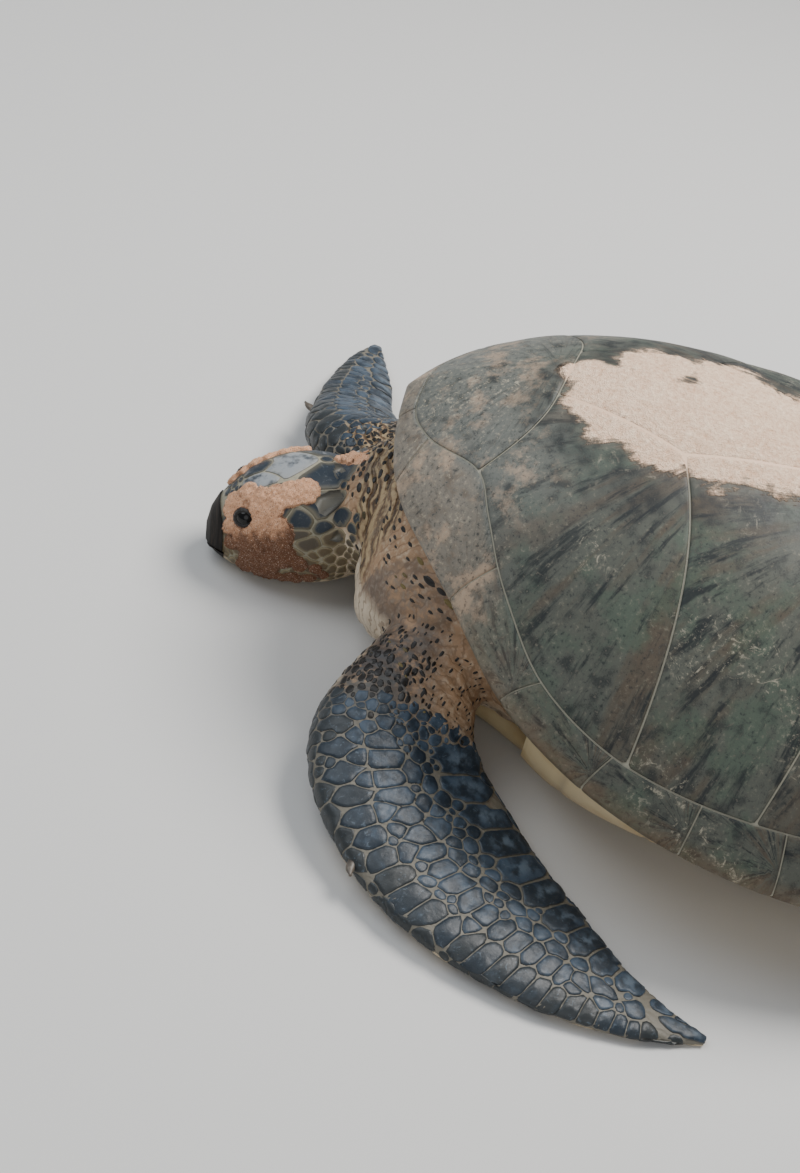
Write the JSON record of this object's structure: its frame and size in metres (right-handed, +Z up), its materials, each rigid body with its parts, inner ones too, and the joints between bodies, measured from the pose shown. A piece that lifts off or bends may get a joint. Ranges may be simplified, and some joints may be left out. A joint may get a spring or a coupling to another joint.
{
  "type": "green sea turtle",
  "caption": "Life-size still model of an adult green sea turtle lying on its plastron, with a domed carapace, scaled head and long front flippers.",
  "frame": {"origin": "on the floor, at the centre of the whole animal's footprint, under the shell", "axes": "+Z up from the floor, -Y towards the head, +Y towards the tail, +X to the turtle's left"},
  "size_m": [1.0013, 1.1391, 0.3918],
  "materials": {
    "carapace": "worn olive and brown horn scutes with pale seams and a dusting of sand",
    "plastron": "smooth cream to yellow horn scutes",
    "skin": "slate blue scales with pale seams over tan, folded skin",
    "beak": "dark grey satin horn",
    "eye": "wet, glossy near-black",
    "claw": "satin horn"
  },
  "bodies": {
    "root": {"carapace": "carapace", "plastron": "plastron", "bridge_left": "plastron", "bridge_right": "plastron", "trunk": "skin", "neck": "skin", "head": "skin", "lower_jaw": "skin", "upper_beak": "beak", "lower_beak": "beak", "eye_left": "eye", "eye_right": "eye", "front_arm_left": "skin", "front_arm_right": "skin", "front_flipper_left": "skin", "front_flipper_right": "skin", "hind_thigh_left": "skin", "hind_thigh_right": "skin", "hind_flipper_left": "skin", "hind_flipper_right": "skin", "front_flipper_left_claw": "claw", "front_flipper_right_claw": "claw", "hind_flipper_left_claw": "claw", "hind_flipper_right_claw": "claw", "tail": "skin"}
  },
  "joints": []
}
